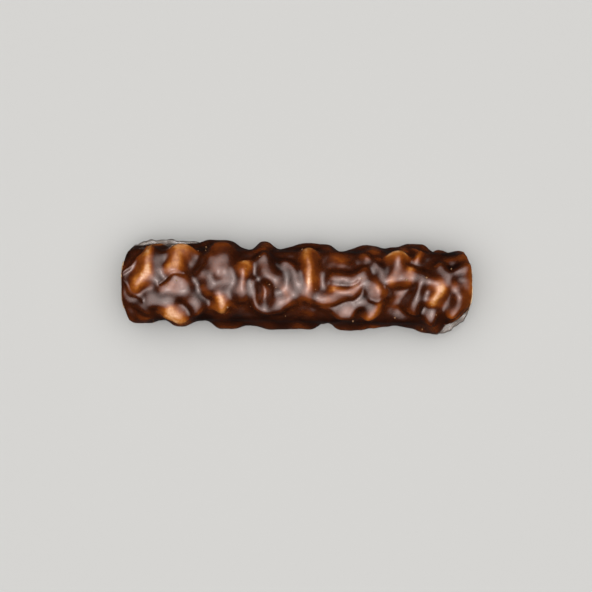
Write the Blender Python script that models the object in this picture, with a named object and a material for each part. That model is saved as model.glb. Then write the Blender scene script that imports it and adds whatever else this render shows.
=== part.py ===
"""A cut stick of churchkhela: walnut kernels in a row, under a coat of thickened grape must.

Metres, +Z up. The stick lies along X on its underside, which has sagged flat while the must was soft.
The origin is on the table, under the middle of the stick. Two solids make it:
must_coat is the skin of must, a tube open at the two knife cuts, and walnut_filling is the row of
kernels that runs through it and shows at both cuts.
"""

import math

import bmesh
import bpy
import numpy as np
from mathutils import Matrix

MM = 0.001

# Driving sizes of the stick, in millimetres. The valley radius is to the must between kernels, which
# stand out of it. The stick is a little flatter than round, full at its shoulders, and it sways
LENGTH = 125.6
VALLEY_RADIUS = 12.8
AXIS_HEIGHT = 12.4
SAG = 0.94
FLATTENED = 0.86
SWAY = 0.8
SHOULDER = 1.2
SHOULDER_ANGLE = 61
SHOULDER_SPREAD = 13
ARC_RADIUS = 14.5

# The knife cuts: the kernels stand a little proud of the must, and each cut draws back by so much at
# the stick's four corners, over so much of its length. The must's edges are rounded over a reach, to a
# depth
PROUD = 0.4
CUT_BOWS = {("left", "far"): 2.8, ("left", "near"): 3.2, ("right", "far"): 2.4, ("right", "near"): 8.4}
CUT_REACH = 17.0
FULL_BOW_RADIUS = 14.0
BOW_POWER = 3
EDGE_REACH = 2.4
EDGE_DEPTH = 1.6
EDGE_STEEPNESS = 0.75

# The filling: its mean radius, how far its lobes stand out, and the running gap around it
CORE_RADIUS = 9.2
CORE_LOBE = 0.55
LOBE_PITCH = 24.0
PAIR_TURN = 0.3
FIFTH_LOBE = 0.6
GAP = 0.4

# How the must runs over the kernels: how much it fills between them, how steep their sides stand, how
# far their tops turn up and down to how many degrees from the top, how much they are lifted round which
# angle from it, how far their lines wander, how much their widths swell, how lumpy the must sets, and
# how far it evens out
BLEND = 3.0
STEEPER = 1.4
FACING = 0.55
FACING_TO = 80
FACING_FADE = 30
LIFT = 1.5
LIFT_ANGLE = 48
LIFT_SPREAD = 15
STEEPEST_COSINE = 0.6
WANDER = 0.75
WANDER_WAVES = (7, 15)
SWELL = 0.14
SWELL_WAVES = (4, 10)
LUMP = 0.09
LUMP_WAVES = (3.5, 8)
EVENED = 1.05
RIPPLE_WAVES = 24
MUST_SEED = 3

# Mesh density: rings along the stick, sides around it, and how many times finer the relief is worked out
COAT_RINGS = 80
COAT_SIDES = 60
RELIEF_FINENESS = 4
COAT_CAP_RINGS = 4
FILLING_RINGS = 20
FILLING_SIDES = 24
FILLING_CAP_RINGS = 2

# Kernels seen from above, from the left end to the right. Each has half its width, how square its dome
# is, and the line of its crest: places along the stick, degrees round it from the top towards +Y, and
# how far it rises over a valley. All lengths are in millimetres
KERNELS_ON_TOP = [
    ("leaning_quarter", 2.9, 2.4, [(-50.6, 72, 2.4), (-51.4, 54, 2.9), (-54.2, 26, 3.2), (-55.2, -2, 2.8)]),
    ("beside_leaning", 3.0, 2.2, [(-48.6, 44, 1.9), (-50.4, 12, 2.0)]),
    ("blunt_quarter", 3.6, 2.8, [(-44.4, 20, 2.9), (-42.4, 50, 2.9), (-39.8, 50, 2.9)]),
    ("rough_patch", 3.6, 2.4, [(-47.0, -3, 2.5), (-40.4, 2, 2.6)]),
    ("smooth_bridge", 3.8, 2.4, [(-52.0, -24, 2.3), (-44.0, -17, 2.6)]),
    ("falling_ridge", 3.2, 2.4, [(-40.0, -8, 2.6), (-35.6, -34, 2.4)]),
    ("small_knob", 2.4, 2.0, [(-32.8, -7, 2.0), (-31.6, -11, 1.9)]),
    ("low_bright_lobe", 3.7, 2.2, [(-45.6, -36, 3.1), (-41.4, -47, 3.2)]),
    ("broad_half", 6.1, 2.7, [(-27.0, 51, 2.9), (-27.9, 10, 2.9)]),
    ("broad_half_heel", 3.6, 2.4, [(-32.7, 12, 2.6), (-30.5, 4, 2.7)]),
    ("thin_quarter_head", 2.7, 2.6, [(-18.4, 28, 3.2), (-18.8, 17, 3.4)]),
    ("thin_quarter_tail", 3.0, 2.2, [(-19.0, 16, 3.2), (-20.4, -1, 3.0), (-19.4, -20, 2.6)]),
    ("short_chip", 3.3, 2.3, [(-27.2, -17, 2.9), (-26.4, -28, 3.1)]),
    ("cup_wall", 2.2, 2.0, [(-15.4, 4, 2.5), (-14.9, -23, 2.4)]),
    ("cup_rim", 2.6, 2.0, [(-14.3, -26, 2.3), (-10.2, -33, 2.4), (-6.0, -34, 2.4)]),
    ("cup_lip", 3.4, 2.2, [(-8.2, -25, 2.7), (-2.4, -20, 3.0)]),
    ("sloping_half", 3.5, 2.2, [(-11.7, 36, 2.5), (-9.8, 15, 2.9), (-6.8, 1, 2.6)]),
    ("curved_strip", 2.6, 2.0, [(-5.0, 30, 2.2), (-1.4, 24, 2.7), (-0.5, 8, 2.6), (1.2, -3, 2.2)]),
    ("upright_quarter", 2.9, 1.8, [(4.3, 56, 2.9), (4.7, 30, 3.4), (4.0, -3, 3.0), (3.4, -15, 2.8)]),
    ("over_crease", 2.6, 2.0, [(12.7, 10, 2.3), (18.4, 14, 2.5), (23.7, 20, 2.6)]),
    ("crease_glow", 1.9, 1.8, [(12.5, -2, 2.4), (16.2, -7, 2.7), (20.0, -6, 2.7)]),
    ("wrinkled_quarter", 3.5, 2.4, [(8.7, -19, 2.3), (15.0, -13, 2.7), (19.9, -5, 2.7), (23.5, 9, 2.4)]),
    ("side_ridge", 2.4, 2.0, [(25.5, -10, 2.4), (23.3, -21, 2.4), (19.5, -39, 2.1)]),
    ("stub_spot", 1.8, 1.6, [(28.6, 1, 3.0), (29.0, -2, 3.0)]),
    ("round_stub", 4.1, 2.6, [(28.0, -2, 3.0), (28.7, -4, 3.0)]),
    ("leg_below_stub", 2.9, 2.0, [(28.3, -20, 3.1), (26.6, -42, 3.0)]),
    ("low_lobe", 3.2, 2.0, [(15.0, -37, 2.6), (19.8, -36, 2.5)]),
    ("top_knob", 2.2, 1.6, [(24.2, 47, 2.3), (24.9, 44, 2.3)]),
    ("strip_by_head", 2.4, 2.0, [(27.6, 33, 2.1), (31.0, 15, 2.4)]),
    ("bright_head", 3.3, 2.6, [(35.4, 43, 3.2), (35.5, 35, 3.4)]),
    ("neck", 4.0, 2.4, [(36.0, 26, 2.8), (35.6, 15, 2.8)]),
    ("second_arm", 2.6, 2.0, [(41.1, 26, 2.8), (38.2, 10, 2.8)]),
    ("grey_strip", 3.0, 2.4, [(43.8, 14, 3.2), (41.2, -28, 3.2)]),
    ("curl", 1.8, 1.6, [(42.5, 72, 2.4), (44.7, 55, 2.6), (42.9, 46, 2.2)]),
    ("banana_head", 2.4, 2.2, [(46.6, 13, 2.8), (48.4, 11, 2.9)]),
    ("banana", 2.6, 2.2, [(48.8, 9, 3.0), (50.4, 0, 3.2), (50.8, -9, 3.3), (49.0, -20, 3.1)]),
    ("low_knob", 3.0, 2.2, [(46.5, -42, 2.7), (48.0, -43, 2.7)]),
    ("fold_left", 2.8, 2.0, [(51.4, 28, 2.4), (53.8, 10, 2.5)]),
    ("fold_right", 2.4, 2.0, [(54.3, 16, 2.4), (61.3, 34, 2.4)]),
    ("last_quarter", 2.8, 2.2, [(58.2, -16, 2.5), (55.2, -36, 2.5)]),
]

# Kernels on the two flanks, which make the outline seen from above
KERNELS_ON_FLANKS = [
    ("under_web", 4.2, 2.4, [(-58.5, 93, 1.0), (-50.0, 93, 2.1), (-35.0, 93, 2.2), (-46.0, 62, 1.4)]),
    ("far_half", 5.4, 2.4, [(-29.5, 95, 3.6), (-25.5, 95, 3.6), (-28.0, 66, 1.6)]),
    ("far_lobe", 3.5, 2.4, [(-12.2, 93, 3.4), (-10.4, 93, 3.4), (-13.0, 58, 2.0)]),
    ("far_ledge", 3.8, 2.4, [(-0.2, 91, 2.5), (4.5, 91, 3.1), (10.5, 91, 2.7), (11.5, 64, 1.0)]),
    ("far_knob", 3.6, 2.2, [(23.6, 95, 2.8), (28.5, 93, 2.3), (27.0, 60, 1.8)]),
    ("far_chip", 3.2, 2.2, [(34.5, 93, 2.1), (38.0, 93, 2.3), (38.5, 66, 1.8)]),
    ("far_pair", 4.0, 2.4, [(41.0, 93, 3.3), (44.2, 93, 3.4)]),
    ("far_end", 2.8, 2.2, [(59.5, 90, 1.0), (61.0, 88, 3.0)]),
    ("near_nub", 3.3, 2.2, [(-42.6, -95, 2.4), (-41.4, -95, 2.5), (-40.5, -64, 1.2)]),
    ("near_lobe", 4.0, 2.4, [(-25.7, -95, 3.1), (-22.5, -95, 2.8)]),
    ("near_chip", 3.2, 2.2, [(-19.5, -93, 1.7), (-14.0, -93, 1.9)]),
    ("near_row", 3.6, 2.4, [(-10.5, -95, 3.0), (-5.0, -95, 3.0), (0.0, -95, 2.5), (4.1, -95, 2.9)]),
    ("near_pair", 3.4, 2.4, [(15.5, -97, 2.9), (17.5, -97, 3.1), (22.5, -95, 2.6)]),
    ("near_leg", 3.2, 2.2, [(28.0, -93, 1.9), (32.0, -93, 1.3)]),
    ("near_half", 3.8, 2.4, [(46.0, -97, 3.6), (49.5, -95, 3.7), (49.0, -62, 2.0)]),
]

# Kernels under the stick, out of sight: rows round it, one kernel at each pitch, moved and turned a little
UNDER_ROWS = (128, 150, 172, 194, 214, 232)
UNDER_PITCH = 11.5
UNDER_SHIFT = 2.2
UNDER_SWING = 6
UNDER_FROM = 123
UNDER_REACHES = (0.5, 4.5)
UNDER_RISES = (2.2, 3.2)
UNDER_WIDTHS = (2.4, 4.2)
UNDER_SQUARE = 1.8
UNDER_SEED = 7

MUST_COLOUR = (0.075, 0.022, 0.008, 1)
MUST_ROUGHNESS = 0.3
WALNUT_COLOUR = (0.56, 0.36, 0.17, 1)
WALNUT_ROUGHNESS = 0.6


def clear_scene():
    for obj in list(bpy.data.objects):
        bpy.data.objects.remove(obj, do_unlink=True)


def collection(name):
    made = bpy.data.collections.new(name)
    bpy.context.scene.collection.children.link(made)
    return made


def material(name, colour, roughness):
    made = bpy.data.materials.new(name)
    made.use_nodes = True
    shader = made.node_tree.nodes["Principled BSDF"]
    shader.inputs["Base Color"].default_value = colour
    shader.inputs["Roughness"].default_value = roughness
    shader.inputs["Metallic"].default_value = 0
    return made


def under_kernels():
    """Kernels all round the underside, none of them alike."""
    draw = np.random.default_rng(UNDER_SEED)
    found = []
    count = int(LENGTH / UNDER_PITCH)
    for row, angle in enumerate(UNDER_ROWS):
        for i in range(count):
            middle = (i + 0.5 * (row % 2) - (count - 1) / 2) * UNDER_PITCH
            x = middle + draw.uniform(-UNDER_SHIFT, UNDER_SHIFT)
            turn = angle + draw.uniform(-UNDER_SWING, UNDER_SWING)
            reach = draw.uniform(*UNDER_REACHES)
            lean = draw.uniform(-math.pi / 2, math.pi / 2)
            rise = draw.uniform(*UNDER_RISES)
            half_width = draw.uniform(*UNDER_WIDTHS)
            step = reach * math.sin(lean)
            swing = math.degrees(reach * math.cos(lean) / ARC_RADIUS)
            turn = min(max(turn, UNDER_FROM + swing), 360 - UNDER_FROM - swing)
            line = [(x - step, turn - swing, rise), (x + step, turn + swing, rise)]
            found.append(("under", half_width, UNDER_SQUARE, line))
    return found


def smooth_step(t):
    t = np.clip(t, 0, 1)
    return t * t * (3 - 2 * t)


def distance_to_line(line, x, around):
    """How far each place is from a line on the stick, how far round from it, and the line's height there."""
    first = line[0][1]
    arc = ARC_RADIUS * ((around - math.radians(first) + math.pi) % (2 * math.pi) - math.pi)
    nearest = np.full_like(x, 1e3)
    beside = np.zeros_like(x)
    height = np.zeros_like(x)
    for start, end in zip(line, line[1:]):
        start_arc = ARC_RADIUS * math.radians(start[1] - first)
        step = end[0] - start[0]
        swing = ARC_RADIUS * math.radians(end[1] - first) - start_arc
        share = ((x - start[0]) * step + (arc - start_arc) * swing) / (step**2 + swing**2)
        share = np.clip(share, 0, 1)
        round_it = arc - start_arc - share * swing
        away = np.hypot(x - start[0] - share * step, round_it)
        beside = np.where(away < nearest, round_it, beside)
        height = np.where(away < nearest, start[2] + share * (end[2] - start[2]), height)
        nearest = np.minimum(nearest, away)
    return nearest, beside, height


def soften(field, spread):
    """Evens a field out over the stick, as thick must does before it sets."""
    pitches = (LENGTH / (field.shape[0] - 1), 2 * math.pi * ARC_RADIUS / field.shape[1])
    for axis, pitch, edge in zip((0, 1), pitches, ("edge", "wrap")):
        reach = math.ceil(3 * spread / pitch)
        weights = np.exp(-((np.arange(-reach, reach + 1) * pitch / spread) ** 2) / 2)
        margin = [(0, 0), (0, 0)]
        margin[axis] = (reach, reach)
        wide = np.moveaxis(np.pad(field, margin, mode=edge), axis, 0)
        count = field.shape[axis]
        evened = sum(weight * wide[i:i + count] for i, weight in enumerate(weights / weights.sum()))
        field = np.moveaxis(evened, 0, axis)
    return field


def ripples(x, around, draw, waves):
    """A random field of about -1 to 1 over the stick, closed round it: waves of many directions added up."""
    total = np.zeros_like(x)
    for _ in range(RIPPLE_WAVES):
        size = draw.uniform(*waves)
        slant = draw.uniform(0, math.pi)
        turns = round(2 * math.pi * ARC_RADIUS / size * math.sin(slant))
        phase = draw.uniform(0, 2 * math.pi)
        total += np.sin(2 * math.pi * x / size * math.cos(slant) + turns * around + phase)
    return total / math.sqrt(RIPPLE_WAVES)


def must_radius(x, around, kernels):
    """The radius of the must, for a grid of places along and round the stick.

    Each kernel is a dome along its crest's line, and the must runs softly over all of them. A round dome
    falls away with the stick, and a square one turns its flat top up.
    """
    draw = np.random.default_rng(MUST_SEED)
    wavy_x = x + WANDER * ripples(x, around, draw, WANDER_WAVES)
    wavy_around = around + WANDER / ARC_RADIUS * ripples(x, around, draw, WANDER_WAVES)
    swell = 1 + SWELL * ripples(x, around, draw, SWELL_WAVES)
    lumps = LUMP * ripples(x, around, draw, LUMP_WAVES)
    from_top = np.abs((np.degrees(around) + 180) % 360 - 180)
    steepness = np.sin(around) / np.maximum(np.cos(around), STEEPEST_COSINE)
    slope = FACING * steepness * smooth_step((FACING_TO - from_top) / FACING_FADE)
    lift = LIFT * np.exp(-(((from_top - LIFT_ANGLE) / LIFT_SPREAD) ** 2))
    total = (SHOULDER * np.exp(-(((from_top - SHOULDER_ANGLE) / SHOULDER_SPREAD) ** 2))) ** BLEND
    for _, half_width, square, line in kernels:
        away, beside, rise = distance_to_line(line, wavy_x, wavy_around)
        away = away / (swell * half_width)
        rise = np.maximum(rise + (lift + beside * slope) * min(max(square - 1, 0), 1), 0)
        total += (rise * np.exp(-(away ** (square + STEEPER)))) ** BLEND
    return VALLEY_RADIUS + soften(total ** (1 / BLEND), EVENED) + lumps


def core_radius(x, around):
    """The radius of the packed kernels: a rod whose lobes turn as it goes along."""
    turn = 2 * math.pi * x / LOBE_PITCH
    lobes = np.cos(2 * around + PAIR_TURN * turn) + np.cos(3 * around - turn)
    lobes += FIFTH_LOBE * np.cos(5 * around + turn)
    return CORE_RADIUS + CORE_LOBE * lobes


def bowed(x, around, half_length, bow_radius):
    """Places along the stick, drawn back towards its middle where the knife cuts bow."""
    near_cut = smooth_step(1 - (half_length - np.abs(x)) / CUT_REACH)
    bow = np.zeros_like(x)
    for (end, side), depth in CUT_BOWS.items():
        here = (x < 0) == (end == "left")
        here &= (np.sin(around) > 0) == (side == "far")
        bow[here] = depth
    bow *= np.abs(bow_radius / FULL_BOW_RADIUS * np.sin(around)) ** BOW_POWER
    return x - np.sign(x) * near_cut * bow


def edge_rounding(x, half_length):
    """How much narrower the must is near its cuts, whose edges are rounded."""
    inside = np.clip(1 - (half_length - np.abs(x)) / EDGE_REACH, 0, 1)
    return EDGE_DEPTH * (1 - np.sqrt(1 - EDGE_STEEPNESS * inside**2))


def closed_tube(name, rings, sides, cap_rings, half_length):
    """A closed cylinder along X of radius 1, cut into rings along its length and on its two caps."""
    mesh = bmesh.new()
    bmesh.ops.create_cone(
        mesh,
        cap_ends=True,
        cap_tris=True,
        segments=sides,
        radius1=1,
        radius2=1,
        depth=2 * half_length,
        matrix=Matrix.Rotation(math.radians(90), 4, "Y"),
    )
    long_edges = [e for e in mesh.edges if abs(e.verts[0].co.x - e.verts[1].co.x) > half_length]
    bmesh.ops.subdivide_edges(mesh, edges=long_edges, cuts=rings - 1)
    spokes = [e for e in mesh.edges if min(v.co.yz.length for v in e.verts) < 0.5]
    bmesh.ops.subdivide_edges(mesh, edges=spokes, cuts=cap_rings - 1)
    bmesh.ops.triangulate(mesh, faces=mesh.faces, quad_method="FIXED")
    data = bpy.data.meshes.new(name)
    mesh.to_mesh(data)
    mesh.free()
    return data


def tube_places(data):
    """Each vertex of a closed tube: its place along, its angle round, and its share of the way out."""
    points = np.empty(len(data.vertices) * 3)
    data.vertices.foreach_get("co", points)
    x, y, z = points.reshape(-1, 3).T
    return x, np.arctan2(y, z), np.hypot(y, z)


def lay_down(data, x, around, radius, half_length, bow_radius):
    """Gives a tube the stick's form: swayed, bowed at its cuts, sagged, and flat where it lies."""
    spine = -SWAY * np.sin(math.pi * x / LENGTH)
    upper = np.maximum(np.cos(around), 0) ** FLATTENED
    height = AXIS_HEIGHT + SAG * radius * np.where(upper > 0, upper, np.cos(around))
    along = bowed(x, around, half_length, bow_radius)
    placed = np.stack([along, radius * np.sin(around) + spine, np.maximum(height, 0)], axis=1)
    data.vertices.foreach_set("co", (placed * MM).ravel())
    data.update()
    data.shade_smooth()


def coat_mesh():
    """The coat of must as a solid, with the relief of the kernels under it."""
    half = LENGTH / 2 - PROUD
    data = closed_tube("must_coat", COAT_RINGS, COAT_SIDES, COAT_CAP_RINGS, half)
    x, around, share = tube_places(data)

    # The relief is worked out on a finer grid, and each vertex takes the place on it that is its own
    rows = COAT_RINGS * RELIEF_FINENESS
    columns = COAT_SIDES * RELIEF_FINENESS
    along = np.linspace(-half, half, rows + 1)
    turns = 2 * math.pi * np.arange(columns) / columns
    grid_x, grid_around = np.meshgrid(along, turns, indexing="ij")
    kernels = KERNELS_ON_TOP + KERNELS_ON_FLANKS + under_kernels()
    relief = must_radius(bowed(grid_x, grid_around, half, FULL_BOW_RADIUS), grid_around, kernels)
    relief -= edge_rounding(grid_x, half)
    row = np.rint((x / half + 1) / 2 * rows).astype(int)
    column = np.rint(around / (2 * math.pi) * columns).astype(int) % columns

    lay_down(data, x, around, share * relief[row, column], half, share * FULL_BOW_RADIUS)
    return data


def core_mesh(name, gap):
    """The row of kernels, or with a gap round it the room that they take."""
    half = LENGTH / 2
    data = closed_tube(name, FILLING_RINGS, FILLING_SIDES, FILLING_CAP_RINGS, half)
    x, around, share = tube_places(data)
    radius = core_radius(x, around) + gap
    lay_down(data, x, around, share * radius, half, share * radius)
    return data


def add_object(name, data, group, finish):
    made = bpy.data.objects.new(name, data)
    made.data.materials.append(finish)
    group.objects.link(made)
    return made


def main():
    clear_scene()
    stick = collection("churchkhela")
    cutters = collection("cutters")
    must = material("grape_must", MUST_COLOUR, MUST_ROUGHNESS)
    walnut = material("walnut_kernel", WALNUT_COLOUR, WALNUT_ROUGHNESS)

    coat = add_object("must_coat", coat_mesh(), stick, must)

    # The room that the kernels take, cut from end to end. Its rings stand where the kernels' rings do,
    # so that the gap between them is the same all along
    room = add_object("kernel_room", core_mesh("kernel_room", GAP), cutters, must)
    room.hide_render = True
    room.display_type = "WIRE"
    cut = coat.modifiers.new("kernel_room", "BOOLEAN")
    cut.operation = "DIFFERENCE"
    cut.solver = "EXACT"
    cut.object = room

    # The row of walnut kernels, which fills that room and stands proud of both cuts
    add_object("walnut_filling", core_mesh("walnut_filling", 0), stick, walnut)


main()
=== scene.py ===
"""The looks of a cut stick of churchkhela: walnut kernels under a glossy coat of thickened grape must."""

import math

import bpy
import numpy as np
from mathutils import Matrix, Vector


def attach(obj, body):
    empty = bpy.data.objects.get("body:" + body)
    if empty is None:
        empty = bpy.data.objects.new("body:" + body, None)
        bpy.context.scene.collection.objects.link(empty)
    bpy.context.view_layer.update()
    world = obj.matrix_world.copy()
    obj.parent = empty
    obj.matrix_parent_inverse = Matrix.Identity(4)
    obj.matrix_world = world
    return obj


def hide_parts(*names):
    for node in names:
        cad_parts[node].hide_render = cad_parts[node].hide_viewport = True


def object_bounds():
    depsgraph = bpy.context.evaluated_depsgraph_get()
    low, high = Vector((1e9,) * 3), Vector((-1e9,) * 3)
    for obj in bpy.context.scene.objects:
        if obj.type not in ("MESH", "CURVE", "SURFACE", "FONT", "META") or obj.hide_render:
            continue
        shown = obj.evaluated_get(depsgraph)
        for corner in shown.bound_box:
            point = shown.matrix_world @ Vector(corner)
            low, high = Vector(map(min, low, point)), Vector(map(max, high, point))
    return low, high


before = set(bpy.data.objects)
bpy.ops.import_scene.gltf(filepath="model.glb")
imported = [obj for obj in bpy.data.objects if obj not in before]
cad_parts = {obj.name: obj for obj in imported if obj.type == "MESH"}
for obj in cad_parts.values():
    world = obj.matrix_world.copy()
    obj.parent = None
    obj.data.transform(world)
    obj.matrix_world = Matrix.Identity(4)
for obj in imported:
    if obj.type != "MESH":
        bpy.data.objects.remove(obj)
cad_low, cad_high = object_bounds()
bpy.ops.object.select_all(action="DESELECT")


# The must coat
# Grape must thickened with flour. The threaded walnuts were dipped in it time after time and hung to dry,
# so it is a glossy brown skin that runs over every kernel, clear enough for the near ones to glow amber.
MM = 0.001
STICK_LENGTH = cad_high.x - cad_low.x
KERNELS_PROUD = 0.4 * MM
COAT_HALF = STICK_LENGTH / 2 - KERNELS_PROUD
VALLEY_RADIUS = 12.8
AXIS_HEIGHT = 12.4
SAG = 0.94
FLATTENED = 0.86
SWAY = 0.8
SHOULDER = 1.2
SHOULDER_ANGLE = 61
SHOULDER_SPREAD = 13
ARC_RADIUS = 14.5

# How the must runs over the kernels. Their tops turn up towards the light as far as FACING_TO degrees
# from the top and are lifted most at LIFT_ANGLE degrees from it. Their lines wander and their widths
# swell, and the must evens out before it sets lumpy.
BLEND = 3.0
STEEPER = 1.4
FACING = 0.55
LIFT = 1.5
LIFT_ANGLE = 48
LIFT_SPREAD = 15
FACING_TO = 80
FACING_FADE = 30
STEEPEST_COSINE = 0.6
WANDER = 0.75
WANDER_WAVES = (7, 15)
SWELL = 0.14
SWELL_WAVES = (4, 10)
LUMP = 0.09
LUMP_WAVES = (3.5, 8)
EVENED = 1.05
RIPPLE_WAVES = 24
MUST_SEED = 3

# How much must lies over the kernels: it shows the amber of the near ones and hides the deep ones
DEEPEST_MUST = 4.5
THINNEST_MUST = 0.1
KERNEL_DROP = 2.4
KERNEL_SHARE = 1.12
COVER_EVENED = 0.5
COVER_UNEVEN = 0.35
COVER_WAVES = (5, 14)

# Kernels seen from above, from the left end to the right. Each has half its width, how square its dome
# is (a round one falls away, a square one turns its flat top up), how much must covers its crest, and
# the line of its crest: places along the stick, degrees round it from the top towards +Y, and how far it
# rises over a valley. All lengths are in millimetres.
KERNELS_ON_TOP = [
    ("low_left", 2.7, 2.0, 2.2, [(-55.7, -30, 1.6), (-53.2, -40, 1.8)]),
    ("leaning_quarter", 2.9, 2.4, 0.3,
     [(-50.6, 72, 2.4), (-51.4, 54, 2.9), (-54.2, 26, 3.2), (-55.2, -2, 2.8)]),
    ("beside_leaning", 3.0, 2.2, 3.0, [(-48.6, 44, 1.9), (-50.4, 12, 2.0)]),
    ("blunt_quarter", 3.6, 2.8, 0.5, [(-44.4, 20, 2.9), (-42.4, 50, 2.9), (-39.8, 50, 2.9)]),
    ("rough_patch", 3.6, 2.4, 1.3, [(-47.0, -3, 2.5), (-40.4, 2, 2.6)]),
    ("smooth_bridge", 3.8, 2.4, 2.6, [(-52.0, -24, 2.3), (-44.0, -17, 2.6)]),
    ("falling_ridge", 3.2, 2.4, 2.4, [(-40.0, -8, 2.6), (-35.6, -34, 2.4)]),
    ("small_knob", 2.4, 2.0, 1.2, [(-32.8, -7, 2.0), (-31.6, -11, 1.9)]),
    ("low_bright_lobe", 3.7, 2.2, 0.2, [(-45.6, -36, 3.1), (-41.4, -47, 3.2)]),
    ("broad_half", 6.1, 2.7, 1.9, [(-27.0, 51, 2.9), (-27.9, 10, 2.9)]),
    ("broad_half_heel", 3.6, 2.4, 2.0, [(-32.7, 12, 2.6), (-30.5, 4, 2.7)]),
    ("thin_quarter_head", 2.7, 2.6, 0.2, [(-18.4, 28, 3.2), (-18.8, 17, 3.4)]),
    ("thin_quarter_tail", 3.0, 2.2, 1.6, [(-19.0, 16, 3.2), (-20.4, -1, 3.0), (-19.4, -20, 2.6)]),
    ("short_chip", 3.3, 2.3, 0.3, [(-27.2, -17, 2.9), (-26.4, -28, 3.1)]),
    ("cup_wall", 2.2, 2.0, 2.4, [(-15.4, 4, 2.5), (-14.9, -23, 2.4)]),
    ("cup_rim", 2.6, 2.0, 2.4, [(-14.3, -26, 2.3), (-10.2, -33, 2.4), (-6.0, -34, 2.4)]),
    ("cup_floor", 3.4, 2.0, 0.9, [(-11.4, -11, 0.2), (-11.4, -17, 0.2)]),
    ("cup_lip", 3.4, 2.2, 1.5, [(-8.2, -25, 2.7), (-2.4, -20, 3.0)]),
    ("sloping_half", 3.5, 2.2, 2.2, [(-11.7, 36, 2.5), (-9.8, 15, 2.9), (-6.8, 1, 2.6)]),
    ("red_chip", 2.7, 2.0, 0.8, [(-3.5, -4, 1.6), (-2.4, -10, 1.8)]),
    ("curved_strip", 2.6, 2.0, 2.4, [(-5.0, 30, 2.2), (-1.4, 24, 2.7), (-0.5, 8, 2.6), (1.2, -3, 2.2)]),
    ("upright_quarter", 2.9, 1.8, 0.5, [(4.3, 56, 2.9), (4.7, 30, 3.4), (4.0, -3, 3.0), (3.4, -15, 2.8)]),
    ("smooth_half", 4.6, 1.0, 0.9, [(12.0, 54, 0.8), (16.3, 46, 0.8)]),
    ("over_crease", 2.6, 2.0, 1.8, [(12.7, 10, 2.3), (18.4, 14, 2.5), (23.7, 20, 2.6)]),
    ("crease_glow", 1.9, 1.8, 0.1, [(12.5, -2, 2.4), (16.2, -7, 2.7), (20.0, -6, 2.7)]),
    ("wrinkled_quarter", 3.5, 2.4, 1.4,
     [(8.7, -19, 2.3), (15.0, -13, 2.7), (19.9, -5, 2.7), (23.5, 9, 2.4)]),
    ("side_ridge", 2.4, 2.0, 2.6, [(25.5, -10, 2.4), (23.3, -21, 2.4), (19.5, -39, 2.1)]),
    ("stub_spot", 1.8, 1.6, 0.1, [(28.6, 1, 3.0), (29.0, -2, 3.0)]),
    ("round_stub", 4.1, 2.6, 1.4, [(28.0, -2, 3.0), (28.7, -4, 3.0)]),
    ("leg_below_stub", 2.9, 2.0, 1.0, [(28.3, -20, 3.1), (26.6, -42, 3.0)]),
    ("low_lobe", 3.2, 2.0, 1.5, [(15.0, -37, 2.6), (19.8, -36, 2.5)]),
    ("dull_lobe", 3.4, 1.0, 1.6, [(3.0, -40, 0.8), (5.1, -46, 0.8)]),
    ("top_knob", 2.2, 1.6, 1.3, [(24.2, 47, 2.3), (24.9, 44, 2.3)]),
    ("top_knob_low", 2.4, 1.6, 1.6, [(28.5, 45, 1.7), (29.6, 45, 1.7)]),
    ("strip_by_head", 2.4, 2.0, 2.6, [(27.6, 33, 2.1), (31.0, 15, 2.4)]),
    ("bright_head", 3.3, 2.6, 0.2, [(35.4, 43, 3.2), (35.5, 35, 3.4)]),
    ("neck", 4.0, 2.4, 0.9, [(36.0, 26, 2.8), (35.6, 15, 2.8)]),
    ("second_arm", 2.6, 2.0, 0.9, [(41.1, 26, 2.8), (38.2, 10, 2.8)]),
    ("smooth_hollow", 3.8, 0.6, 0.6, [(36.4, -10, 0.6), (35.6, -30, 0.6)]),
    ("grey_strip", 3.0, 2.4, 2.6, [(43.8, 14, 3.2), (41.2, -28, 3.2)]),
    ("curl", 1.8, 1.6, 0.9, [(42.5, 72, 2.4), (44.7, 55, 2.6), (42.9, 46, 2.2)]),
    ("banana_head", 2.4, 2.2, 1.8, [(46.6, 13, 2.8), (48.4, 11, 2.9)]),
    ("banana", 2.6, 2.2, 0.2, [(48.8, 9, 3.0), (50.4, 0, 3.2), (50.8, -9, 3.3), (49.0, -20, 3.1)]),
    ("banana_hollow", 3.0, 2.0, 1.4, [(46.0, -1, 1.1), (45.8, -12, 1.1)]),
    ("low_knob", 3.0, 2.2, 1.7, [(46.5, -42, 2.7), (48.0, -43, 2.7)]),
    ("fold_left", 2.8, 2.0, 2.2, [(51.4, 28, 2.4), (53.8, 10, 2.5)]),
    ("fold_right", 2.4, 2.0, 2.6, [(54.3, 16, 2.4), (61.3, 34, 2.4)]),
    ("flat_corner", 4.0, 1.0, 1.8, [(53.8, 45, 1.6), (58.8, 49, 1.6)]),
    ("amber_chip", 3.0, 2.0, 1.0, [(56.0, 5, 1.6), (57.0, 1, 1.6)]),
    ("last_quarter", 2.8, 2.2, 1.6, [(58.2, -16, 2.5), (55.2, -36, 2.5)]),
]

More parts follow.
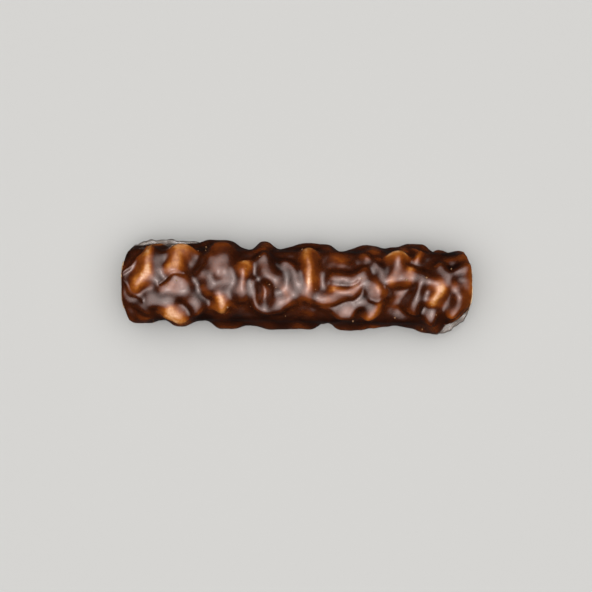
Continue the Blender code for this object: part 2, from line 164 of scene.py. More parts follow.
# Kernels on the two flanks, which make the outline seen from above
KERNELS_ON_FLANKS = [
    ("under_web", 4.2, 2.4, 3.2, [(-58.5, 93, 1.0), (-50.0, 93, 2.1), (-35.0, 93, 2.2), (-46.0, 62, 1.4)]),
    ("far_half", 5.4, 2.4, 2.0, [(-29.5, 95, 3.6), (-25.5, 95, 3.6), (-28.0, 66, 1.6)]),
    ("far_lobe", 3.5, 2.4, 1.6, [(-12.2, 93, 3.4), (-10.4, 93, 3.4), (-13.0, 58, 2.0)]),
    ("far_ledge", 3.8, 2.4, 2.0, [(-0.2, 91, 2.5), (4.5, 91, 3.1), (10.5, 91, 2.7), (11.5, 64, 1.0)]),
    ("far_knob", 3.6, 2.2, 1.4, [(23.6, 95, 2.8), (28.5, 93, 2.3), (27.0, 60, 1.8)]),
    ("far_chip", 3.2, 2.2, 1.6, [(34.5, 93, 2.1), (38.0, 93, 2.3), (38.5, 66, 1.8)]),
    ("far_pair", 4.0, 2.4, 1.3, [(41.0, 93, 3.3), (44.2, 93, 3.4)]),
    ("far_end", 2.8, 2.2, 1.2, [(59.5, 90, 1.0), (61.0, 88, 3.0)]),
    ("near_end", 3.8, 2.2, 1.6, [(-60.0, -64, 1.7), (-54.5, -87, 1.2), (-54.0, -56, 1.5)]),
    ("near_nub", 3.3, 2.2, 1.0, [(-42.6, -95, 2.4), (-41.4, -95, 2.5), (-40.5, -64, 1.2)]),
    ("near_lobe", 4.0, 2.4, 1.8, [(-25.7, -95, 3.1), (-22.5, -95, 2.8)]),
    ("near_chip", 3.2, 2.2, 2.2, [(-19.5, -93, 1.7), (-14.0, -93, 1.9)]),
    ("near_row", 3.6, 2.4, 1.6, [(-10.5, -95, 3.0), (-5.0, -95, 3.0), (0.0, -95, 2.5), (4.1, -95, 2.9)]),
    ("near_pair", 3.4, 2.4, 1.5, [(15.5, -97, 2.9), (17.5, -97, 3.1), (22.5, -95, 2.6)]),
    ("near_leg", 3.2, 2.2, 1.0, [(28.0, -93, 1.9), (32.0, -93, 1.3)]),
    ("near_swell", 3.2, 2.2, 2.0, [(38.0, -93, 1.3), (42.0, -93, 1.8)]),
    ("near_half", 3.8, 2.4, 1.4, [(46.0, -97, 3.6), (49.5, -95, 3.7), (49.0, -62, 2.0)]),
]

# Kernels under the stick: rows round it, one kernel at each pitch, moved and turned by a seeded draw
UNDER_ROWS = (128, 150, 172, 194, 214, 232)
UNDER_PITCH = 11.5
UNDER_SHIFT = 2.2
UNDER_SWING = 6
UNDER_FROM = 123
UNDER_REACHES = (0.5, 4.5)
UNDER_RISES = (2.2, 3.2)
UNDER_WIDTHS = (2.4, 4.2)
UNDER_SQUARE = 1.8
UNDER_SEED = 7
THINNEST_BELOW = 0.4
THICKER_BELOW = 2.0

# Narrow folds in the must, which stand out of it, and creases and two wider hollows, which sink into
# it: half the width, the height, and the line, whose points end in a 0 that isn't used
FOLDS = [
    ("left_cut_fold", 0.8, 0.9, [(-62.0, 18, 0), (-57.8, 36, 0), (-53.5, 62, 0)]),
    ("left_low_fold", 0.6, 0.4, [(-62.0, 4, 0), (-59.0, -9, 0), (-55.6, -22, 0)]),
    ("stub_ring", 0.7, 0.35, [(32.0, 3, 0), (32.5, -8, 0), (30.7, -15, 0), (27.6, -17, 0), (25.5, -12, 0)]),
    ("quarter_crease", 0.9, -0.4, [(11.5, 5, 0), (14.6, 0, 0), (18.1, 2, 0), (22.0, 7, 0)]),
    ("quarter_foot_crease", 0.9, -0.5, [(7.6, -30, 0), (15.0, -25, 0), (20.2, -20, 0), (23.7, -4, 0)]),
    ("patch_crease", 0.7, -0.6, [(-48.5, 5, 0), (-43.6, 12, 0), (-40.5, 14, 0)]),
    ("red_hollow", 3.6, -1.5, [(37.2, -4, 0), (36.4, -32, 0)]),
    ("cup_hollow", 2.2, -1.2, [(-11.8, -5, 0), (-11.2, -17, 0)]),
    ("half_dimple", 1.8, -0.6, [(-27.8, 14, 0), (-27.4, 12, 0)]),
]

# The knife cuts: how far the cut draws back at the stick's four corners, over what reach, at what
# radius in full, and how late it comes in across the stick. The must's edge is rounded off at both cuts,
# over a reach, by a depth and a steepness.
CUT_BOWS = {("left", "far"): 2.8, ("left", "near"): 3.2, ("right", "far"): 2.4, ("right", "near"): 8.4}
CUT_REACH = 17.0
FULL_BOW_RADIUS = 14.0
BOW_POWER = 3
EDGE_REACH = 2.4
EDGE_DEPTH = 1.6
EDGE_STEEPNESS = 0.75

# The last of the must before the right cut is coloured as thin amber must: partly thin must, partly a
# painted glow of light shining through the thin edge. The cut faces show the must at full depth
THIN_EDGE_PAINTED_GLOW = 4.5
THIN_EDGE_PAINTED_GLOW_SHARE = 0.75
CUT_FACE_DEPTH = 2.4

# The room for the kernels, a tube with soft lobes that turn as it goes along: two slow ones, three, and
# five lower ones
CORE_RADIUS = 9.2
CORE_LOBE = 0.55
LOBE_PITCH = 24.0
PAIR_TURN = 0.3
FIFTH_LOBE = 0.6
CORE_GAP = 0.03

# The mesh: one sheet, rolled round the stick and walked along it: outside, right cut, inside, left cut
SIDES = 224
OUTSIDE_ROWS = 400
CUT_ROWS = 8
INSIDE_ROWS = 16


def eased(share):
    """A share from 0 to 1 that starts and ends level."""
    return share**2 * (3 - 2 * share)


def under_kernels():
    """Kernels all round the underside, none of them alike. The must is thinnest over the highest ones."""
    draw = np.random.default_rng(UNDER_SEED)
    found = []
    count = int(STICK_LENGTH / MM / UNDER_PITCH)
    for row, angle in enumerate(UNDER_ROWS):
        for i in range(count):
            middle = (i + 0.5 * (row % 2) - (count - 1) / 2) * UNDER_PITCH
            x = middle + draw.uniform(-UNDER_SHIFT, UNDER_SHIFT)
            turn = angle + draw.uniform(-UNDER_SWING, UNDER_SWING)
            reach = draw.uniform(*UNDER_REACHES)
            lean = draw.uniform(-math.pi / 2, math.pi / 2)
            rise = draw.uniform(*UNDER_RISES)
            half_width = draw.uniform(*UNDER_WIDTHS)
            step = reach * math.sin(lean)
            swing = math.degrees(reach * math.cos(lean) / ARC_RADIUS)
            turn = min(max(turn, UNDER_FROM + swing), 360 - UNDER_FROM - swing)
            line = [(x - step, turn - swing, rise), (x + step, turn + swing, rise)]
            cover = THINNEST_BELOW + THICKER_BELOW * (UNDER_RISES[1] - rise)
            found.append(("under", half_width, UNDER_SQUARE, cover, line))
    return found


def distance_to_line(line, x, around):
    """How far each point is from a line drawn on the stick, how far round from it, and its height."""
    first = line[0][1]
    arc = ARC_RADIUS * ((around - math.radians(first) + math.pi) % (2 * math.pi) - math.pi)
    nearest = np.full_like(x, 1e3)
    beside = np.zeros_like(x)
    height = np.zeros_like(x)
    for start, end in zip(line, line[1:]):
        start_arc = ARC_RADIUS * math.radians(start[1] - first)
        step = end[0] - start[0]
        swing = ARC_RADIUS * math.radians(end[1] - first) - start_arc
        share = ((x - start[0]) * step + (arc - start_arc) * swing) / (step**2 + swing**2)
        share = np.clip(share, 0, 1)
        round_it = arc - start_arc - share * swing
        away = np.hypot(x - start[0] - share * step, round_it)
        beside = np.where(away < nearest, round_it, beside)
        height = np.where(away < nearest, start[2] + share * (end[2] - start[2]), height)
        nearest = np.minimum(nearest, away)
    return nearest, beside, height


def soften(field, spread):
    """Evens a field out over the sheet, as thick must does before it sets."""
    pitches = (STICK_LENGTH / MM / OUTSIDE_ROWS, 2 * math.pi * ARC_RADIUS / SIDES)
    for axis, pitch, edge in zip((0, 1), pitches, ("edge", "wrap")):
        reach = math.ceil(3 * spread / pitch)
        weights = np.exp(-((np.arange(-reach, reach + 1) * pitch / spread) ** 2) / 2)
        margin = [(0, 0), (0, 0)]
        margin[axis] = (reach, reach)
        wide = np.moveaxis(np.pad(field, margin, mode=edge), axis, 0)
        count = field.shape[axis]
        evened = sum(weight * wide[i:i + count] for i, weight in enumerate(weights / weights.sum()))
        field = np.moveaxis(evened, 0, axis)
    return field


def ripples(x, around, draw, waves):
    """A random field of about -1 to 1 over the stick, closed round it: waves of many directions."""
    total = np.zeros_like(x)
    for _ in range(RIPPLE_WAVES):
        size = draw.uniform(*waves)
        slant = draw.uniform(0, math.pi)
        turns = round(2 * math.pi * ARC_RADIUS / size * math.sin(slant))
        phase = draw.uniform(0, 2 * math.pi)
        total += np.sin(2 * math.pi * x / size * math.cos(slant) + turns * around + phase)
    return total / math.sqrt(RIPPLE_WAVES)


def must_surface(x, around, kernels):
    """The radius of the must, and how much of it lies over the nearest kernel, in millimetres."""
    draw = np.random.default_rng(MUST_SEED)
    wavy_x = x + WANDER * ripples(x, around, draw, WANDER_WAVES)
    wavy_around = around + WANDER / ARC_RADIUS * ripples(x, around, draw, WANDER_WAVES)
    swell = 1 + SWELL * ripples(x, around, draw, SWELL_WAVES)
    lumps = LUMP * ripples(x, around, draw, LUMP_WAVES)
    uneven = COVER_UNEVEN * ripples(x, around, draw, COVER_WAVES)
    from_top = np.abs((np.degrees(around) + 180) % 360 - 180)
    facing = eased(np.clip((FACING_TO - from_top) / FACING_FADE, 0, 1))
    slope = FACING * np.sin(around) / np.maximum(np.cos(around), STEEPEST_COSINE) * facing
    lift = LIFT * np.exp(-(((from_top - LIFT_ANGLE) / LIFT_SPREAD) ** 2))
    total = (SHOULDER * np.exp(-(((from_top - SHOULDER_ANGLE) / SHOULDER_SPREAD) ** 2))) ** BLEND
    kernel_top = np.full_like(x, -DEEPEST_MUST)
    for _, half_width, square, cover, line in kernels:
        away, beside, rise = distance_to_line(line, wavy_x, wavy_around)
        away = away / (swell * half_width)
        rise = np.maximum(rise + (lift + beside * slope) * min(max(square - 1, 0), 1), 0)
        total += (rise * np.exp(-(away ** (square + STEEPER)))) ** BLEND
        inner = np.exp(-((away / KERNEL_SHARE) ** square))
        kernel_top = np.maximum(kernel_top, (rise + KERNEL_DROP) * inner - KERNEL_DROP - cover)
    rise = soften(total ** (1 / BLEND), EVENED)
    depth = np.clip(soften(rise - kernel_top, COVER_EVENED) + uneven, THINNEST_MUST, DEEPEST_MUST)
    rise += lumps
    for _, half_width, height, line in FOLDS:
        away, _, _ = distance_to_line(line, wavy_x, wavy_around)
        rise += height * np.exp(-((away / half_width) ** 2))
    return VALLEY_RADIUS + rise, depth


def core_radius(x, around):
    """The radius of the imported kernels, in millimetres."""
    turn = 2 * math.pi * x / LOBE_PITCH
    lobes = np.cos(2 * around + PAIR_TURN * turn) + np.cos(3 * around - turn)
    lobes += FIFTH_LOBE * np.cos(5 * around + turn)
    return CORE_RADIUS + CORE_LOBE * lobes


def bowed(x, around, half_length, bow_radius):
    """Places along the stick, drawn back towards its middle where the knife cuts bow."""
    near_cut = eased(np.clip(1 - (half_length - np.abs(x)) / CUT_REACH, 0, 1))
    bow = np.zeros_like(x)
    for (end, side), depth in CUT_BOWS.items():
        here = (x < 0) == (end == "left")
        here &= (np.sin(around) > 0) == (side == "far")
        bow[here] = depth
    bow *= np.abs(bow_radius / FULL_BOW_RADIUS * np.sin(around)) ** BOW_POWER
    return x - np.sign(x) * near_cut * bow


def place_on_stick(x, radius, around, half_length, bow_radius):
    """Places along and round the stick as points in metres: sagged, swayed, bowed and flat below."""
    upper = np.maximum(np.cos(around), 0) ** FLATTENED
    height = AXIS_HEIGHT + SAG * radius * np.where(upper > 0, upper, np.cos(around))
    spine = -SWAY * np.sin(math.pi * x * MM / STICK_LENGTH)
    along = bowed(x, around, half_length, bow_radius)
    return np.stack([along, radius * np.sin(around) + spine, np.maximum(height, 0)], axis=1) * MM


def rolled_sheet(name, rows, sides):
    """A flat grid for a rolled piece: the object, and each vertex's row and place round the stick."""
    bpy.ops.mesh.primitive_grid_add(x_subdivisions=rows, y_subdivisions=sides, size=1)
    sheet = bpy.context.object
    sheet.name = name
    sheet.data.name = name
    flat = np.empty(len(sheet.data.vertices) * 3)
    sheet.data.vertices.foreach_get("co", flat)
    flat = flat.reshape(-1, 3)
    row = np.rint((flat[:, 0] + 0.5) * rows).astype(int)
    side = np.rint((flat[:, 1] + 0.5) * sides).astype(int)
    return sheet, row, side


def close_seams(piece):
    """Merges the edges that a rolled sheet brings together, and turns its faces outwards."""
    bpy.ops.object.select_all(action="DESELECT")
    piece.select_set(True)
    bpy.context.view_layer.objects.active = piece
    bpy.ops.object.mode_set(mode="EDIT")
    bpy.ops.mesh.select_all(action="SELECT")
    bpy.ops.mesh.remove_doubles(threshold=0.002 * MM)
    bpy.ops.mesh.normals_make_consistent(inside=False)
    bpy.ops.object.mode_set(mode="OBJECT")
    bpy.ops.object.shade_smooth()


kernels = KERNELS_ON_TOP + KERNELS_ON_FLANKS + under_kernels()
half = COAT_HALF / MM
along = np.linspace(-half, half, OUTSIDE_ROWS + 1)
grid_x, grid_around = np.meshgrid(along, 2 * math.pi * np.arange(SIDES) / SIDES, indexing="ij")
cut_back = bowed(grid_x, grid_around, half, FULL_BOW_RADIUS)
relief, depth = must_surface(cut_back, grid_around, kernels)
rounded = np.clip(1 - (half - np.abs(grid_x)) / EDGE_REACH, 0, 1)
relief -= EDGE_DEPTH * (1 - np.sqrt(1 - EDGE_STEEPNESS * rounded**2))
walk = np.concatenate([
    np.arange(OUTSIDE_ROWS + 1),
    np.full(CUT_ROWS, OUTSIDE_ROWS),
    np.rint(np.linspace(OUTSIDE_ROWS, 0, INSIDE_ROWS + 1)[1:]).astype(int),
    np.zeros(CUT_ROWS, int),
])
walk_share = np.concatenate([
    np.ones(OUTSIDE_ROWS + 1),
    np.linspace(1, 0, CUT_ROWS + 1)[1:],
    np.zeros(INSIDE_ROWS),
    np.linspace(0, 1, CUT_ROWS + 1)[1:],
])
coat, row, side = rolled_sheet("must_coat_skin", len(walk) - 1, SIDES)
place = (walk[row], side % SIDES)
x = grid_x[place]
around = grid_around[place]
outer = relief[place]
depth = depth[place]
share = walk_share[row]
# Painted glow: near the right cut the must is coloured thinner and more amber, for light shining through
# the edge
depth -= THIN_EDGE_PAINTED_GLOW_SHARE * depth * np.clip((x - half + THIN_EDGE_PAINTED_GLOW) / THIN_EDGE_PAINTED_GLOW, 0, 1)
depth = np.where(share < 1, CUT_FACE_DEPTH, depth)
inner = core_radius(x, around) + CORE_GAP
radius = inner + share * (outer - inner)
bow_radius = inner + share * (FULL_BOW_RADIUS - inner)
coat.data.vertices.foreach_set("co", place_on_stick(x, radius, around, half, bow_radius).ravel())
coat.data.attributes.new("must_depth", "FLOAT", "POINT").data.foreach_set("value", depth)
close_seams(coat)

# How much the colour wanders, as millimetres of must: in mottles and in fine grains
MOTTLE = 2.0
GRAIN = 0.7

# The colour of the must by how deep it is with its mottles and grains, as a share of the deepest
MUST_COLOURS = [
    (0.172, (0.42, 0.215, 0.098)),
    (0.215, (0.30, 0.108, 0.021)),
    (0.255, (0.215, 0.062, 0.0075)),
    (0.295, (0.155, 0.036, 0.0032)),
    (0.388, (0.085, 0.0165, 0.0014)),
    (0.519, (0.034, 0.0060, 0.0006)),
    (0.733, (0.007, 0.0012, 0.0002)),
]

must = bpy.data.materials.new("grape_must")
must.use_nodes = True
nodes = must.node_tree.nodes
links = must.node_tree.links
shader = nodes["Principled BSDF"]
depth_read = nodes.new("ShaderNodeAttribute")
depth_read.attribute_name = "must_depth"
place = nodes.new("ShaderNodeTexCoord")
mottle = nodes.new("ShaderNodeTexNoise")
mottle.inputs["Scale"].default_value = 230
mottle.inputs["Detail"].default_value = 6
mottle.inputs["Roughness"].default_value = 0.6
links.new(place.outputs["Object"], mottle.inputs["Vector"])
mottled = nodes.new("ShaderNodeMath")
mottled.operation = "MULTIPLY_ADD"
mottled.inputs[1].default_value = MOTTLE
links.new(mottle.outputs["Fac"], mottled.inputs[0])
links.new(depth_read.outputs["Fac"], mottled.inputs[2])
grains = nodes.new("ShaderNodeTexNoise")
grains.inputs["Scale"].default_value = 900
grains.inputs["Detail"].default_value = 3
links.new(place.outputs["Object"], grains.inputs["Vector"])
grained = nodes.new("ShaderNodeMath")
grained.operation = "MULTIPLY_ADD"
grained.inputs[1].default_value = GRAIN
links.new(grains.outputs["Fac"], grained.inputs[0])
links.new(mottled.outputs[0], grained.inputs[2])
scaled = nodes.new("ShaderNodeMath")
scaled.operation = "DIVIDE"
scaled.inputs[1].default_value = DEEPEST_MUST + MOTTLE + GRAIN
links.new(grained.outputs[0], scaled.inputs[0])
ramp = nodes.new("ShaderNodeValToRGB")
links.new(scaled.outputs[0], ramp.inputs["Fac"])
for i, (position, colour) in enumerate(MUST_COLOURS):
    stop = ramp.color_ramp.elements[i] if i < 2 else ramp.color_ramp.elements.new(position)
    stop.position = position
    stop.color = (*colour, 1)
links.new(ramp.outputs["Color"], shader.inputs["Base Color"])
grit = nodes.new("ShaderNodeTexNoise")
grit.inputs["Scale"].default_value = 600
grit.inputs["Detail"].default_value = 4
links.new(place.outputs["Object"], grit.inputs["Vector"])
gritty = nodes.new("ShaderNodeBump")
gritty.inputs["Strength"].default_value = 0.5
gritty.inputs["Distance"].default_value = 0.12 * MM
links.new(grit.outputs["Fac"], gritty.inputs["Height"])
links.new(gritty.outputs["Normal"], shader.inputs["Normal"])
shader.inputs["Roughness"].default_value = 0.26
shader.inputs["IOR"].default_value = 1.55
shader.inputs["Specular Tint"].default_value = (1, 0.84, 0.80, 1)
shader.inputs["Subsurface Weight"].default_value = 0.1
shader.inputs["Subsurface Radius"].default_value = (1.0, 0.35, 0.12)
shader.inputs["Subsurface Scale"].default_value = 1.2 * MM
coat.data.materials.append(must)
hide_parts("must_coat")
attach(coat, "root")


# The films of must
# Must that ran out of the coat while it was wet and set as two thin webs along the stick's edges. They
# are as clear as brown glass, and torn where the stick was handled.
FILM_THICKNESS = 0.2
FILM_ROOT = 2.5
FILM_CELLS = (90, 8)
FILM_TAPER = 0.5
FILM_STEP = 0.02
FILM_RIPPLE = 0.5

# The waves along a film, in its torn edge and in its ripples: how many radians it has, how strong, and
# where it starts
TORN_WAVES = [(21, 0.12, 0), (47, 0.08, 1)]
RIPPLE_ALONG = [(13, 1, 0), (31, 0.4, 2)]

# Each film's height over the table, its width, and the line on the stick's edge that it stands out of
FILMS = {
    "must_film_far": (
        12.5, 2.1, [(-60.2, 12.6), (-56.0, 14.2), (-50.0, 14.9), (-43.0, 14.8), (-34.5, 15.4)]),
    "must_film_near": (
        9.0, 2.0, [(48.0, -16.6), (52.0, -15.6), (56.0, -13.2), (60.0, -10.0), (62.0, -7.0)]),
}

film_must = bpy.data.materials.new("thin_grape_must")
film_must.use_nodes = True
shader = film_must.node_tree.nodes["Principled BSDF"]
shader.inputs["Base Color"].default_value = (0.40, 0.33, 0.29, 1)
shader.inputs["Roughness"].default_value = 0.2
shader.inputs["IOR"].default_value = 1.4
shader.inputs["Transmission Weight"].default_value = 0.85

for name, (height, width, line) in FILMS.items():
    along_cells, out_cells = FILM_CELLS
    bpy.ops.mesh.primitive_grid_add(x_subdivisions=along_cells, y_subdivisions=out_cells, size=1)
    film = bpy.context.object
    film.name = name
    film.data.name = name
    flat = np.empty(len(film.data.vertices) * 3)
    film.data.vertices.foreach_get("co", flat)
    along = flat[0::3] + 0.5
    out = flat[1::3] + 0.5
    stops = np.linspace(0, 1, len(line))
    line_x, line_y = np.array(line).T
    edge_x = np.interp(along, stops, line_x)
    edge_y = np.interp(along, stops, line_y)
    way_x = np.interp(along + FILM_STEP, stops, line_x) - np.interp(along - FILM_STEP, stops, line_x)
    way_y = np.interp(along + FILM_STEP, stops, line_y) - np.interp(along - FILM_STEP, stops, line_y)
    outward = math.copysign(1, line_y[0]) / np.hypot(way_x, way_y)
    torn = 1 + sum(strong * np.sin(turns * along + start) for turns, strong, start in TORN_WAVES)
    torn *= width * np.sin(math.pi * along) ** FILM_TAPER
    reach = -FILM_ROOT + out * (FILM_ROOT + torn)
    wavy = sum(strong * np.sin(turns * along + start) for turns, strong, start in RIPPLE_ALONG)
    ripple = FILM_RIPPLE * wavy * out
    points = [edge_x - way_y * outward * reach, edge_y + way_x * outward * reach, height + ripple]
    film.data.vertices.foreach_set("co", (np.stack(points, axis=1) * MM).ravel())
    thicken = film.modifiers.new("thickness", "SOLIDIFY")
    thicken.thickness = FILM_THICKNESS * MM
    thicken.offset = 0
    bpy.ops.object.modifier_apply(modifier=thicken.name)
    close_seams(film)
    film.data.materials.append(film_must)
    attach(film, "root")


# The walnut filling
# Walnut halves and quarters, pushed tight onto a thread and glued together by the must that ran between
# them. The knife went through some at both ends, so cream flesh shows there inside its thin brown skin.
FILLING_HALF = STICK_LENGTH / MM / 2
FILLING_SIDES = 160
FILLING_ROWS = 40
FACE_ROWS = 40
FLESH_PROUD = 0.4
SEAM_SHARE = 0.10
SEAM_WIDTH = 0.05
SEAM_SLOPE = 0.7
WRINKLE = 0.4
WRINKLE_RATES = (1.3, 1.5)
WRINKLE_START = 0.8
FAR_OUT = 9.0
CUT_TOLERANCE = 0.001

# Kernels that each cut went through: across, up, half length, half width, degrees that they lean
KERNELS_AT_CUTS = {
    -1: [(-4.6, 3.8, 5.2, 3.9, 30), (4.2, 4.4, 5.0, 3.9, -35), (0.4, -4.9, 6.2, 3.3, 8),
         (-7.6, -2.6, 2.3, 3.2, 10), (7.7, -1.6, 2.3, 3.4, -12)],
    1: [(-4.7, 1.2, 3.9, 5.4, 8), (4.2, 4.4, 5.0, 3.8, 22), (4.3, -3.9, 5.0, 3.6, -20),
        (-3.2, -7.2, 4.0, 2.2, -12), (-2.6, 8.3, 3.6, 1.9, 10)],
}

# The lobes of a kernel's outline: how many there are, how deep, and how far each kernel turns them
KERNEL_LOBES = [(3, 0.10, 1.7), (5, 0.07, 0.9), (8, 0.045, 2.3), (13, 0.02, 1.1)]


def inside_kernels(across, up, kernels_cut):
    """How far inside a kernel each place on a cut is, from 1 at its middle to below 0 in the must."""
    nearest = np.full_like(across, FAR_OUT)
    second = np.full_like(across, FAR_OUT)
    bent_across = across + WRINKLE * np.sin(WRINKLE_RATES[0] * up + WRINKLE_START)
    bent_up = up + WRINKLE * np.sin(WRINKLE_RATES[1] * across)
    for i, (middle, rise, half_long, half_wide, lean) in enumerate(kernels_cut):
        turn = math.radians(lean)
        u = (bent_across - middle) * math.cos(turn) + (bent_up - rise) * math.sin(turn)
        v = (bent_up - rise) * math.cos(turn) - (bent_across - middle) * math.sin(turn)
        bearing = np.arctan2(v, u)
        lobes = sum(lobe * np.sin(count * bearing + shift * i) for count, lobe, shift in KERNEL_LOBES)
        out = np.hypot(u / half_long, v / half_wide) * (1 + lobes)
        second = np.minimum(second, np.maximum(out, nearest))
        nearest = np.minimum(nearest, out)
    return np.minimum(1 - nearest, SEAM_SLOPE * (second - nearest) - SEAM_WIDTH)


filling_walk_x = np.concatenate([
    np.full(FACE_ROWS, -FILLING_HALF),
    np.linspace(-FILLING_HALF, FILLING_HALF, FILLING_ROWS + 1),
    np.full(FACE_ROWS, FILLING_HALF),
])
filling_walk_share = np.concatenate([
    np.linspace(0, 1, FACE_ROWS + 1)[:-1],
    np.ones(FILLING_ROWS + 1),
    np.linspace(1, 0, FACE_ROWS + 1)[1:],
])
filling, row, side = rolled_sheet("walnut_filling_cut", len(filling_walk_x) - 1, FILLING_SIDES)
x = filling_walk_x[row]
share = filling_walk_share[row]
around = 2 * math.pi * side / FILLING_SIDES
radius = share * core_radius(x, around)
inside = np.zeros_like(x)
at_cut = np.abs(x) > FILLING_HALF - CUT_TOLERANCE
for end, kernels_cut in KERNELS_AT_CUTS.items():
    here = at_cut & (np.sign(x) == end)
    across = radius[here] * np.sin(around[here])
    up = radius[here] * np.cos(around[here])
    inside[here] = inside_kernels(across, up, kernels_cut)
flesh = eased(np.clip(inside / SEAM_SHARE, 0, 1))
x = np.where(at_cut, x - np.sign(x) * FLESH_PROUD * (1 - flesh), x)
filling.data.vertices.foreach_set("co", place_on_stick(x, radius, around, FILLING_HALF, radius).ravel())
inside = np.clip(inside, 0, 1)
filling.data.attributes.new("kernel_inside", "FLOAT", "POINT").data.foreach_set("value", inside)
close_seams(filling)

# The colour of a cut kernel by how far inside it a place is, from its skin to its middle, and how much
# that wanders
FLESH_GRAIN = 0.16
WALNUT_COLOURS = [
    (0.08, (0.020, 0.0055, 0.0012)),
    (0.11, (0.13, 0.045, 0.012)),
    (0.16, (0.26, 0.115, 0.038)),
    (0.22, (0.50, 0.315, 0.140)),
    (0.34, (0.64, 0.42, 0.205)),
    (0.80, (0.76, 0.55, 0.30)),
]

walnut = bpy.data.materials.new("walnut_kernel")
walnut.use_nodes = True
nodes = walnut.node_tree.nodes
links = walnut.node_tree.links
shader = nodes["Principled BSDF"]
inside_read = nodes.new("ShaderNodeAttribute")
inside_read.attribute_name = "kernel_inside"
place = nodes.new("ShaderNodeTexCoord")
grain = nodes.new("ShaderNodeTexNoise")
grain.inputs["Scale"].default_value = 700
grain.inputs["Detail"].default_value = 4
links.new(place.outputs["Object"], grain.inputs["Vector"])
uneven = nodes.new("ShaderNodeMath")
uneven.operation = "MULTIPLY_ADD"
uneven.inputs[1].default_value = FLESH_GRAIN
links.new(grain.outputs["Fac"], uneven.inputs[0])
links.new(inside_read.outputs["Fac"], uneven.inputs[2])
ramp = nodes.new("ShaderNodeValToRGB")
links.new(uneven.outputs[0], ramp.inputs["Fac"])
for i, (position, colour) in enumerate(WALNUT_COLOURS):
    stop = ramp.color_ramp.elements[i] if i < 2 else ramp.color_ramp.elements.new(position)
    stop.position = position
    stop.color = (*colour, 1)
links.new(ramp.outputs["Color"], shader.inputs["Base Color"])
dullness = nodes.new("ShaderNodeMapRange")
dullness.inputs["From Min"].default_value = 0.1
dullness.inputs["From Max"].default_value = 0.25
dullness.inputs["To Min"].default_value = 0.22
dullness.inputs["To Max"].default_value = 0.62
links.new(uneven.outputs[0], dullness.inputs["Value"])
links.new(dullness.outputs["Result"], shader.inputs["Roughness"])
pores = nodes.new("ShaderNodeBump")
pores.inputs["Strength"].default_value = 0.5
pores.inputs["Distance"].default_value = 0.25 * MM
links.new(grain.outputs["Fac"], pores.inputs["Height"])
links.new(pores.outputs["Normal"], shader.inputs["Normal"])
filling.data.materials.append(walnut)
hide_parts("walnut_filling")
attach(filling, "root")


# The crumbs
# Crumbs of walnut that fell off the kernels as they were threaded and off the knife as it cut. They
# stick to the must, partly sunk in it. Some have set places, and the rest are scattered.
CRUMB_PLACES = [
    (-35.2, 57), (-32.6, 58), (-13.2, 40), (-9.7, 2), (-7.4, -2), (-46.2, -1), (-42.6, 5), (23.0, 12),
    (-24.6, -31), (35.0, -52), (49.8, -37), (46.0, 14), (-16.4, -32), (2.0, 62), (47.9, -23),
]
LOOSE_CRUMBS = 16
CLEAR_OF_CUTS = 1
CRUMBS_TO_ANGLE = 115
CRUMB_SIZES = (0.16, 0.38)
CRUMB_OUT = 0.25
CRUMB_LUMPS = (0.75, 1.25)
CRUMB_STRETCH = (0.6, 1.2)
CRUMB_SEED = 11

draw = np.random.default_rng(CRUMB_SEED)
crumb_places = list(CRUMB_PLACES)
for _ in range(LOOSE_CRUMBS):
    loose_x = draw.uniform(-half + CLEAR_OF_CUTS, half - CLEAR_OF_CUTS)
    crumb_places.append((loose_x, draw.uniform(-CRUMBS_TO_ANGLE, CRUMBS_TO_ANGLE)))
crumbs = []
for crumb_x, angle in crumb_places:
    size = draw.uniform(*CRUMB_SIZES)
    grid_row = round((crumb_x + half) / (2 * half) * OUTSIDE_ROWS)
    turn = math.radians(angle)
    grid_side = round(turn / (2 * math.pi) * SIDES) % SIDES
    radius = relief[grid_row, grid_side] + CRUMB_OUT * size
    one_place = (np.array([crumb_x]), np.array([radius]), np.array([turn]))
    spot = place_on_stick(*one_place, half, FULL_BOW_RADIUS)[0]
    bpy.ops.mesh.primitive_ico_sphere_add(subdivisions=2, radius=size * MM, location=spot)
    crumb = bpy.context.object
    points = np.empty(len(crumb.data.vertices) * 3)
    crumb.data.vertices.foreach_get("co", points)
    points = points.reshape(-1, 3) * draw.uniform(*CRUMB_LUMPS, (len(crumb.data.vertices), 1))
    points *= draw.uniform(*CRUMB_STRETCH, 3)
    crumb.data.vertices.foreach_set("co", points.ravel())
    crumb.data.update()
    crumbs.append(crumb)
bpy.ops.object.select_all(action="DESELECT")
for crumb in crumbs:
    crumb.select_set(True)
bpy.context.view_layer.objects.active = crumbs[0]
bpy.ops.object.join()
bpy.ops.object.transform_apply(location=True, rotation=True, scale=True)
crumbs = bpy.context.object
crumbs.name = "walnut_crumbs"
crumbs.data.name = "walnut_crumbs"
bpy.ops.object.shade_smooth()
crumb_flesh = bpy.data.materials.new("walnut_crumb")
crumb_flesh.use_nodes = True
shader = crumb_flesh.node_tree.nodes["Principled BSDF"]
shader.inputs["Base Color"].default_value = (0.20, 0.10, 0.04, 1)
shader.inputs["Roughness"].default_value = 0.4
crumbs.data.materials.append(crumb_flesh)
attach(crumbs, "root")


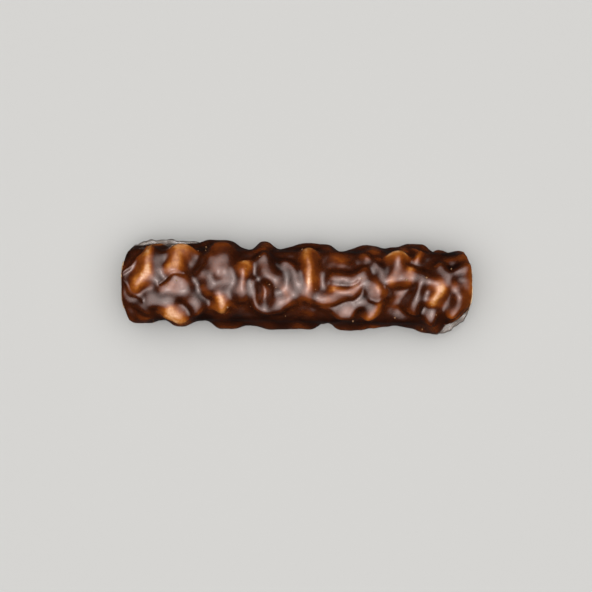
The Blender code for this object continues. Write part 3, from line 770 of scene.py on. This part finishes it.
# The floor, the light and the camera
# A pale table under soft lights, seen from straight above. The camera stands a little to the stick's near
# side, as it did in the photo. The lights are round, from a wide dim one to a small bright one, and hang
# a step apart, because discs in one plane hide one another from reflected rays.
TABLE_SIDE = 8
TABLE_DROP = 0.1 * MM
PHOTO_SIDE = 592
SCALE_AT_OUTLINE = 0.36 * MM
OUTLINE_HEIGHT = 13 * MM
STICK_MIDDLE_PIXEL = (296.8, 286.5)
CAMERA_HEIGHT = 0.95
LIGHT_HEIGHT = 1.6
LIGHT_STEP = 0.01
LIGHT_SIDES = (3.8, 2.9, 1.7, 0.7, 0.16)
LIGHT_RADIANCES = (0.6, 1.6, 2.4, 3.2, 30.0)

bpy.ops.mesh.primitive_plane_add(size=TABLE_SIDE, location=(0, 0, -TABLE_DROP))
floor = bpy.context.object
floor.name = "pale_floor"
floor.visible_glossy = False
pale = bpy.data.materials.new("pale_table")
pale.use_nodes = True
pale.node_tree.nodes["Principled BSDF"].inputs["Base Color"].default_value = (0.35, 0.345, 0.335, 1)
pale.node_tree.nodes["Principled BSDF"].inputs["Roughness"].default_value = 0.9
floor.data.materials.append(pale)

for step, (side, radiance) in enumerate(zip(LIGHT_SIDES, LIGHT_RADIANCES)):
    bpy.ops.object.light_add(type="AREA", location=(0, 0, LIGHT_HEIGHT - step * LIGHT_STEP))
    light = bpy.context.object
    light.data.shape = "DISK"
    light.data.size = side
    disc_area = math.pi / 4 * side**2
    light.data.energy = radiance * math.pi * disc_area

world = bpy.data.worlds.new("studio")
world.use_nodes = True
world.node_tree.nodes["Background"].inputs["Color"].default_value = (1, 1, 1, 1)
world.node_tree.nodes["Background"].inputs["Strength"].default_value = 0.03
bpy.context.scene.world = world

camera_x = (PHOTO_SIDE / 2 - STICK_MIDDLE_PIXEL[0]) * SCALE_AT_OUTLINE
camera_y = (STICK_MIDDLE_PIXEL[1] - PHOTO_SIDE / 2) * SCALE_AT_OUTLINE
bpy.ops.object.camera_add(location=(camera_x, camera_y, CAMERA_HEIGHT), rotation=(0, 0, 0))
camera = bpy.context.object
half_view = PHOTO_SIDE / 2 * SCALE_AT_OUTLINE / (CAMERA_HEIGHT - OUTLINE_HEIGHT)
camera.data.lens = camera.data.sensor_width / 2 / half_view
camera.data.clip_start = 0.01
bpy.context.scene.camera = camera
bpy.context.scene.view_settings.view_transform = "Standard"
